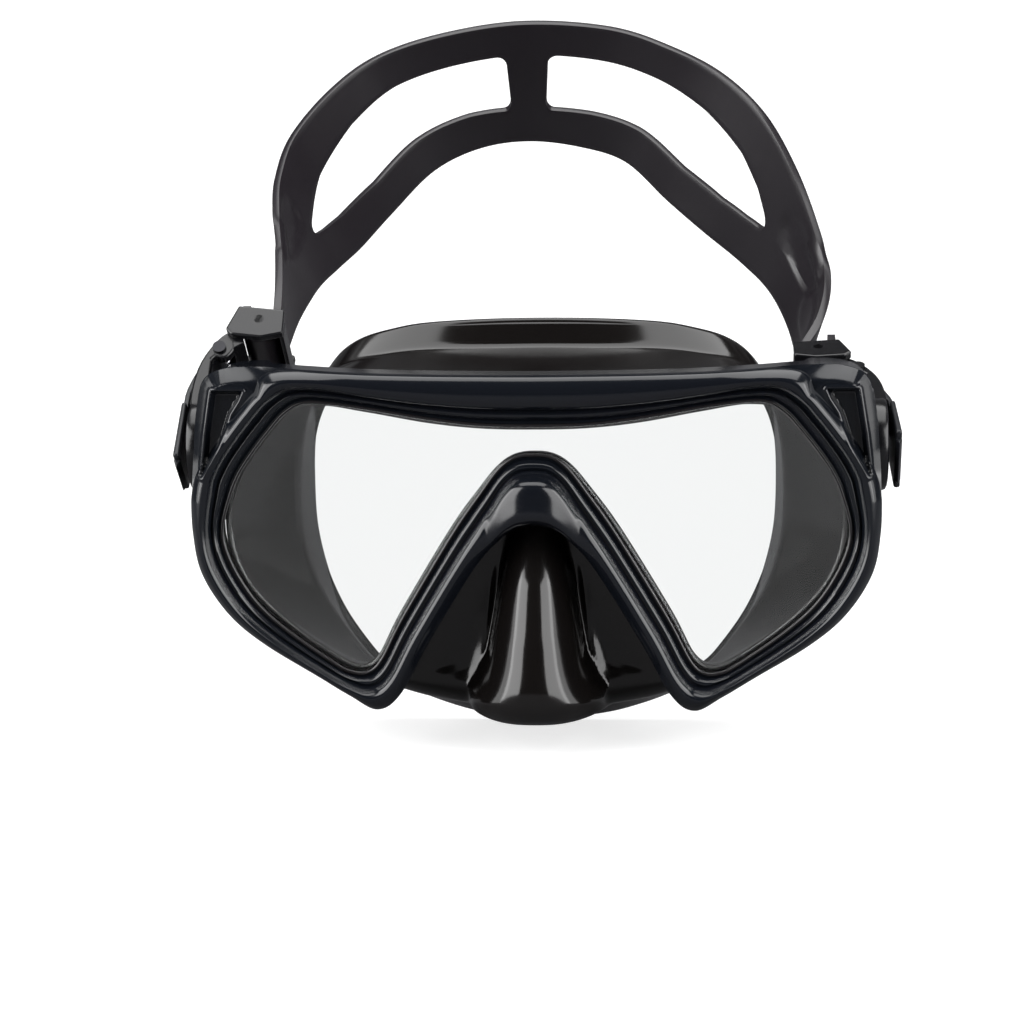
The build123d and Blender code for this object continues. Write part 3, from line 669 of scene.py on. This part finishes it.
def hole_edges(station):
    """Shares of the width where the hole starts and ends, rounded towards the centre bar."""
    foot = lerp_table(list(zip(HOLE_STATIONS, HOLE_FOOT)), station)
    head = lerp_table(list(zip(HOLE_STATIONS, HOLE_HEAD)), station)
    gap = min(abs(station - BAR[0]), abs(station - BAR[1]))
    if BAR[0] < station < BAR[1]:
        gap = 0
    end_gap = min(station - HOLE_STATIONS[0], HOLE_STATIONS[-1] - station)
    for distance, radius, depth in ((gap, BAR_CORNER, BAR_CORNER_DEPTH),
                                    (end_gap, END_CORNER, END_CORNER_DEPTH)):
        if 0 <= distance < radius:
            shrink = 1 - sqrt(max(0.0, 1 - (1 - distance / radius) ** 2))
            foot += shrink * depth
            head -= shrink * depth
    return foot, head


def relief(station, v):
    """Raised pads of the strap where its two bands meet."""
    height = 0.0
    for centre_station, centre_v, along_spread, across_spread, amount in PADS:
        reach = ((station - centre_station) / along_spread) ** 2 + ((v - centre_v) / across_spread) ** 2
        if reach < 1:
            height += amount * ease((1 - reach) * 2.2)
    return height


def mesh_stations():
    """Stations of the mesh's lines across the band, closer together round the ends of the hole's parts."""
    stations = [k / SPAN_STEPS for k in range(SPAN_STEPS * last_station + 1)]
    for mark in (HOLE_STATIONS[0], *BAR, HOLE_STATIONS[-1]):
        stations.append(mark)
        for offset in CLOSE_LINES:
            stations += [mark - offset, mark + offset]
    return sorted(set(round(s, 4) for s in stations if 0 <= s <= last_station))


def across(station):
    """Shares of the width at which the mesh has points."""
    foot, head = hole_edges(max(HOLE_STATIONS[0], min(HOLE_STATIONS[-1], station)))
    outside = max(HOLE_STATIONS[0] - station, station - HOLE_STATIONS[-1], 0)
    calm = ease(outside / CALM_LENGTH)
    foot += (CALM_SHARES[0] - foot) * calm
    head += (CALM_SHARES[1] - head) * calm
    shares = [foot * k / BAND_STEPS for k in range(BAND_STEPS)]
    shares += [foot + (head - foot) * k / HOLE_STEPS for k in range(HOLE_STEPS)]
    shares += [head + (1 - head) * k / BAND_STEPS for k in range(BAND_STEPS + 1)]
    return shares


def band_row(station):
    """Points across the band at a station, lifted by the pads."""
    top, foot = along(upper_run, station), along(lower_run, station)
    after, before = min(last_station, station + 0.04), max(0, station - 0.04)
    ahead = along(upper_run, after) + along(lower_run, after)
    behind = along(upper_run, before) + along(lower_run, before)
    normal = (ahead - behind).cross(top - foot).normalized()
    return [foot + (top - foot) * v - normal * (relief(station, v) * PAD_LIFT) for v in across(station)]


def bend_rows(side):
    """Rows of the tail from the free end round the roller to the start of the strap."""
    roller_a, roller_b = ROLLER
    path = [(roller_a + BEND, FREE_END[side] - (FREE_END[side] - roller_b) * k / 12) for k in range(12)]
    path += [(roller_a + BEND * cos(pi * k / 20), roller_b - BEND * sin(pi * k / 20)) for k in range(21)]
    path += [(RUN_A, roller_b + (STRAP_START_B - roller_b) * k / 4) for k in range(1, 4)]
    shares = across(0 if side < 0 else last_station)
    return [[on_buckle(side, a, b, (2 * v - 1) * TAIL_HALF) for v in shares] for a, b in path]


band_stations = mesh_stations()
left_rows, right_rows = bend_rows(-1), bend_rows(1)
strap_rows = left_rows + [band_row(station) for station in band_stations] + right_rows[::-1]
row_stations = [-1] * len(left_rows) + band_stations + [last_station + 1] * len(right_rows)


def in_hole(r, c):
    """Whether a face of the strap's grid lies in the hole."""
    middle = (row_stations[r] + row_stations[r + 1]) / 2
    inside = HOLE_STATIONS[0] < middle < BAR[0] or BAR[1] < middle < HOLE_STATIONS[-1]
    return inside and BAND_STEPS <= c < BAND_STEPS + HOLE_STEPS


def merge_doubles(obj, distance):
    """Joins points that are closer together than the distance."""
    bm = bmesh.new()
    bm.from_mesh(obj.data)
    bmesh.ops.remove_doubles(bm, verts=bm.verts, dist=distance * MM)
    bm.to_mesh(obj.data)
    bm.free()


strap_faces = grid_faces(len(strap_rows), len(strap_rows[0]), skip=in_hole)
strap_band = new_object("strap_band", [p for row in strap_rows for p in row], strap_faces)
merge_doubles(strap_band, 0.02)
strap_wall = strap_band.modifiers.new("thickness", "SOLIDIFY")
strap_wall.thickness = STRAP_THICKNESS * MM
strap_wall.offset = 0
bevel(strap_band, 0.45, 2, 60)
place(strap_band, "strap", strap_silicone, "strap", "strap")


# ---- grip ribs on the outside of each free tail ----
def prism(name, corners, direction, height):
    """Closed prism: corners of one end and the vector to the other end."""
    size = len(corners)
    verts = [Vector(c) for c in corners] + [Vector(c) + direction * height for c in corners]
    faces = [tuple(range(size))[::-1], tuple(range(size, 2 * size))]
    faces += [(k, (k + 1) % size, size + (k + 1) % size, size + k) for k in range(size)]
    return outward(new_object(name, verts, faces, False))


def joined(name, objects):
    """One object from several."""
    bm = bmesh.new()
    for obj in objects:
        bm.from_mesh(obj.data)
    mesh = bpy.data.meshes.new(name)
    bm.to_mesh(mesh)
    bm.free()
    for obj in objects:
        bpy.data.objects.remove(obj)
    whole = bpy.data.objects.new(name, mesh)
    bpy.context.scene.collection.objects.link(whole)
    return whole


def tail_ribs(side, word):
    """Ribs of one tail, from the roller to its free end, as one object."""
    ribs = []
    foot_a = ROLLER[0] + BEND + STRAP_THICKNESS / 2
    b = ROLLER[1] + 2
    while b + RIB_SPACING < FREE_END[side]:
        corners = [on_buckle(side, foot_a + da, b + db, -RIB_HALF) for da, db in RIB_PROFILE]
        ribs.append(prism("rib", corners, width_direction(side), 2 * RIB_HALF))
        b += RIB_SPACING
    return bevel(joined(f"{word}_tail_ribs", ribs), 0.15, 2)


for side, word in SIDES:
    place(tail_ribs(side, word), "strap", strap_silicone, "strap")


# ---- buckles and release levers ----
# Outlines in (a, b), as on_buckle takes them.
ARM = [(82.4, 6), (86.4, 6), (86.4, 13), (85, 19.5), (82.2, 25), (79.4, 28.2), (76.4, 29.5), (76.4, 26.5),
       (77, 23), (79, 20.6), (82.4, 20.2)]
CHEEK = [(64.6, 26.6), (70, 25.4), (77.6, 26.4), (79.2, 28.2), (76.4, 35.2), (64.6, 33.8)]
INNER_WALL = [(64.6, 26.8), (65.6, 26.6), (65.6, 31.5), (64.6, 31.5)]
CROSSBAR = [(74.4, 25), (77.2, 23.2), (77.5, 25.6), (76.6, 27), (74.8, 26.6)]
LEVER = [(88, -8), (89.6, -8), (88.9, 8), (88.3, 13.5), (85.7, 20.2), (82.2, 25.4), (79.3, 28.8), (78.5, 32),
         (76.9, 32.3), (76.9, 30.4), (77.9, 26.4), (79.4, 22.2), (80.6, 21.2), (82.8, 20.6), (83.8, 18),
         (86.8, 13.2), (87.5, 9)]
FLAP = [(88, -8), (89.6, -8), (88.9, 8), (87.6, 8)]
# Limits across the buckle: the two rails, the cheeks outside them, the lever's arm and its flap.
RAIL_INNER, RAIL_OUTER, CHEEK_OUTER = 6.4, 9.0, 11.2
WALL_HALF, ARM_HALF, FLAP_HALF = 9.2, 5.9, 8
# The hub: from and to along the pivot axis, its radius, and the radius of the pin's bore.
HUB_INNER_A, HUB_OUTER_A, HUB_RADIUS, BORE_RADIUS = 82.4, 86.4, 11.4, 3.0
HUB_SEGMENTS = 96


def softened(points, samples):
    """Outline rounded through its corners, which stay where they are."""
    size = len(points)
    line = []
    for i in range(size):
        quad = [points[(i + k) % size] for k in (-1, 0, 1, 2)]
        line += [tuple(blend4(*quad, step / samples)) for step in range(samples)]
    return line


def slab(name, side, outline, from_c, to_c):
    """Plate with an outline in (a, b), between two places across the buckle."""
    corners = [on_buckle(side, a, b, from_c) for a, b in outline]
    return prism(name, corners, width_direction(side), to_c - from_c)


def hub_disc(side, word):
    """Disc with the pin's bore, a counterbore and a stepped rim, turned about the pivot axis."""
    inner, outer, radius = HUB_INNER_A, HUB_OUTER_A, HUB_RADIUS
    profile = [(inner, BORE_RADIUS), (inner, radius - 0.6), (inner + 0.25, radius - 0.15),
               (inner + 0.6, radius), (outer - 0.9, radius), (outer - 0.3, radius - 0.25),
               (outer, radius - 0.9), (outer, radius - 2.2), (outer - 0.35, radius - 2.5),
               (outer - 0.35, 6.2), (outer, 5.9), (outer, 5.12), (outer - 1.0, 5.1),
               (outer - 1.0, BORE_RADIUS)]
    verts = []
    for a, r in profile:
        for k in range(HUB_SEGMENTS):
            angle = 2 * pi * k / HUB_SEGMENTS
            verts.append((side * a, PIVOT[0] + r * cos(angle), PIVOT[1] + r * sin(angle)))
    faces = grid_faces(len(profile), HUB_SEGMENTS, True, True)
    hub = outward(new_object(f"{word}_hub", verts, faces))
    sharp_shading(hub, 30)
    return hub


def slabs(name, side, plates, edge, segments):
    """Several slabs as one piece with rounded edges; each plate is (outline, from_c, to_c)."""
    return bevel(joined(name, [slab("plate", side, *plate) for plate in plates]), edge, segments)


def buckle_body(side, word):
    """The buckle's body in four pieces: hub, rails, cheeks and cross walls."""
    body = f"{word}_buckle"
    place(hub_disc(side, word), body, buckle_black, "buckle", f"{word}_buckle_body")
    arm = softened(ARM, 3)
    rails = [(arm, -RAIL_OUTER, -RAIL_INNER), (arm, RAIL_INNER, RAIL_OUTER)]
    place(slabs(f"{word}_rails", side, rails, 0.55, 3), body, buckle_black, "buckle")
    cheeks = [(CHEEK, RAIL_OUTER, CHEEK_OUTER), (CHEEK, -CHEEK_OUTER, -RAIL_OUTER)]
    place(slabs(f"{word}_cheeks", side, cheeks, 0.5, 3), body, buckle_black, "buckle")
    walls = [(outline, -WALL_HALF, WALL_HALF) for outline in (INNER_WALL, CROSSBAR)]
    place(slabs(f"{word}_walls", side, walls, 0.3, 2), body, buckle_black, "buckle")


def release_lever(side, word):
    """The lever's arm and its flap."""
    body = f"{word}_lever"
    arm = bevel(slab(f"{word}_lever_arm", side, softened(LEVER, 2), -ARM_HALF, ARM_HALF), 0.5, 3)
    place(arm, body, lever_black, "lever", f"{word}_release_lever")
    flap = bevel(slab(f"{word}_lever_flap", side, FLAP, -FLAP_HALF, FLAP_HALF), 0.6, 4)
    place(flap, body, lever_black, "lever")


for side, word in SIDES:
    buckle_body(side, word)
    release_lever(side, word)


# ---- CAD pieces that keep their shape ----
# By the ending of the node's name.
NODE_MATERIALS = {
    "pivot_pin": black_steel, "pivot_clip": steel, "lever_pin": black_steel, "roller_pin": black_steel,
    "lever_spring": steel, "strap_roller": roller_matte, "retaining_ring": ring_matte}
for node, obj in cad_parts.items():
    for ending, material in NODE_MATERIALS.items():
        if node.endswith(ending):
            paint_with(obj, material)


# ---- floor and backdrop ----
FLOOR_Z = -61.6
FLOOR_FRONT, CURVE_START, CURVE_RADIUS = -2600, 500, 700
BACKDROP_HALF_WIDTH, BACKDROP_TOP = 3200, 2600
WHITE = (1, 1, 1, 1)
# How bright the backdrop is to the camera and behind the glass, and its paint to reflections.
SEEN_GLOW, GLASS_GLOW = 0.7, 1.02
REFLECTED_PAINT = (0.14, 0.14, 0.145, 1)


def sweep_backdrop():
    """Seamless pale floor that curves up behind the object."""
    profile = [(FLOOR_FRONT, FLOOR_Z), (CURVE_START, FLOOR_Z)]
    for k in range(1, 13):
        angle = k * pi / 24
        rise = CURVE_RADIUS - CURVE_RADIUS * cos(angle)
        profile.append((CURVE_START + CURVE_RADIUS * sin(angle), FLOOR_Z + rise))
    profile.append((CURVE_START + CURVE_RADIUS, BACKDROP_TOP))
    verts = [(x, y, z) for y, z in profile for x in (-BACKDROP_HALF_WIDTH, BACKDROP_HALF_WIDTH)]
    return new_object("backdrop", verts, grid_faces(len(profile), 2))


def backdrop_material():
    """White to the camera, plain white light behind the glass, and dim to reflections."""
    material = shader("backdrop_paint", (0.5, 0.5, 0.5), 0.9, Emission_Color=WHITE,
                      Emission_Strength=SEEN_GLOW)
    nodes, links = material.node_tree.nodes, material.node_tree.links
    dim = nodes.new("ShaderNodeBsdfDiffuse")
    dim.inputs["Color"].default_value = REFLECTED_PAINT
    clear = nodes.new("ShaderNodeEmission")
    clear.inputs["Color"].default_value = WHITE
    clear.inputs["Strength"].default_value = GLASS_GLOW
    rays = nodes.new("ShaderNodeLightPath")
    directly = nodes.new("ShaderNodeMixShader")
    links.new(rays.outputs["Is Camera Ray"], directly.inputs[0])
    links.new(dim.outputs[0], directly.inputs[1])
    links.new(nodes["Principled BSDF"].outputs[0], directly.inputs[2])
    behind_glass = nodes.new("ShaderNodeMixShader")
    links.new(rays.outputs["Is Transmission Ray"], behind_glass.inputs[0])
    links.new(directly.outputs[0], behind_glass.inputs[1])
    links.new(clear.outputs[0], behind_glass.inputs[2])
    links.new(behind_glass.outputs[0], nodes["Material Output"].inputs["Surface"])
    return material


backdrop = sweep_backdrop()
backdrop.data.materials.append(backdrop_material())


# ---- camera ----
AZIMUTH, ELEVATION, ROLL = radians(4.0), radians(8.0), radians(0.6)
DISTANCE = 620.0
TARGET = Vector((-5.1, -50.0, -0.5))
SENSOR_WIDTH = 36
# Focal length in widths of the picture.
FOCAL_RATIO = 2546 / 1024


def add_camera():
    """Camera at the photograph's viewing angle."""
    back = Vector((sin(AZIMUTH) * cos(ELEVATION), -cos(AZIMUTH) * cos(ELEVATION), sin(ELEVATION)))
    level_right = Vector((0, 0, 1)).cross(back).normalized()
    level_up = back.cross(level_right)
    right = level_right * cos(ROLL) - level_up * sin(ROLL)
    up = level_up * cos(ROLL) + level_right * sin(ROLL)
    spot = (TARGET + back * DISTANCE) * MM
    data = bpy.data.cameras.new("camera")
    data.sensor_width = SENSOR_WIDTH
    data.lens = FOCAL_RATIO * SENSOR_WIDTH
    data.clip_start = 0.01
    camera = bpy.data.objects.new("camera", data)
    bpy.context.scene.collection.objects.link(camera)
    camera.matrix_world = Matrix((
        (right.x, up.x, back.x, spot.x), (right.y, up.y, back.y, spot.y),
        (right.z, up.z, back.z, spot.z), (0, 0, 0, 1)))
    bpy.context.scene.camera = camera


add_camera()


# ---- lights ----
def softbox(name, place_at, look_at, width, height, power):
    """Rectangular light with its place, aim and size in millimetres and its power in watts."""
    light = bpy.data.lights.new(name, "AREA")
    light.shape = "RECTANGLE"
    light.size, light.size_y = width * MM, height * MM
    light.energy = power
    obj = bpy.data.objects.new(name, light)
    bpy.context.scene.collection.objects.link(obj)
    obj.location = Vector(place_at) * MM
    direction = Vector(look_at) - Vector(place_at)
    obj.rotation_euler = direction.to_track_quat("-Z", "Y").to_euler()
    obj.visible_camera = False


softbox("key_left", (-745, -545, 260), (0, -40, 0), 780, 950, 13)
softbox("key_right", (745, -545, 260), (0, -40, 0), 780, 950, 11)
softbox("overhead", (0, 0, 1500), (0, 0, 0), 1700, 1500, 28)
softbox("side_left", (-1000, -160, 260), (0, -40, 0), 500, 900, 3.5)
softbox("side_right", (1000, -160, 260), (0, -40, 0), 500, 900, 3.5)


# ---- surroundings ----
# Brightness to reflections, from the front of the room to its back, and the Y of the directions that it
# changes over.
ROOM_GLOW, ROOM_SPAN = (0.03, 0.4), (-0.15, 0.7)


def add_room():
    """White to the camera and behind the glass; to reflections dark in front and pale behind.

    That keeps black plastic black.
    """
    world = bpy.data.worlds.new("studio")
    world.use_nodes = True
    nodes, links = world.node_tree.nodes, world.node_tree.links
    reflected = nodes["Background"]
    reflected.inputs["Color"].default_value = WHITE
    direction = nodes.new("ShaderNodeTexCoord")
    parts = nodes.new("ShaderNodeSeparateXYZ")
    glow = nodes.new("ShaderNodeMapRange")
    glow.interpolation_type = "SMOOTHSTEP"
    glow.inputs["From Min"].default_value, glow.inputs["From Max"].default_value = ROOM_SPAN
    glow.inputs["To Min"].default_value, glow.inputs["To Max"].default_value = ROOM_GLOW
    links.new(direction.outputs["Generated"], parts.inputs[0])
    links.new(parts.outputs["Y"], glow.inputs["Value"])
    links.new(glow.outputs["Result"], reflected.inputs["Strength"])
    white = nodes.new("ShaderNodeBackground")
    white.inputs["Color"].default_value = WHITE
    rays = nodes.new("ShaderNodeLightPath")
    seen = nodes.new("ShaderNodeMath")
    seen.operation = "MAXIMUM"
    links.new(rays.outputs["Is Camera Ray"], seen.inputs[0])
    links.new(rays.outputs["Is Transmission Ray"], seen.inputs[1])
    choose = nodes.new("ShaderNodeMixShader")
    links.new(seen.outputs[0], choose.inputs[0])
    links.new(reflected.outputs[0], choose.inputs[1])
    links.new(white.outputs[0], choose.inputs[2])
    links.new(choose.outputs[0], nodes["World Output"].inputs["Surface"])
    bpy.context.scene.world = world


add_room()
bpy.context.scene.view_settings.view_transform = "Standard"
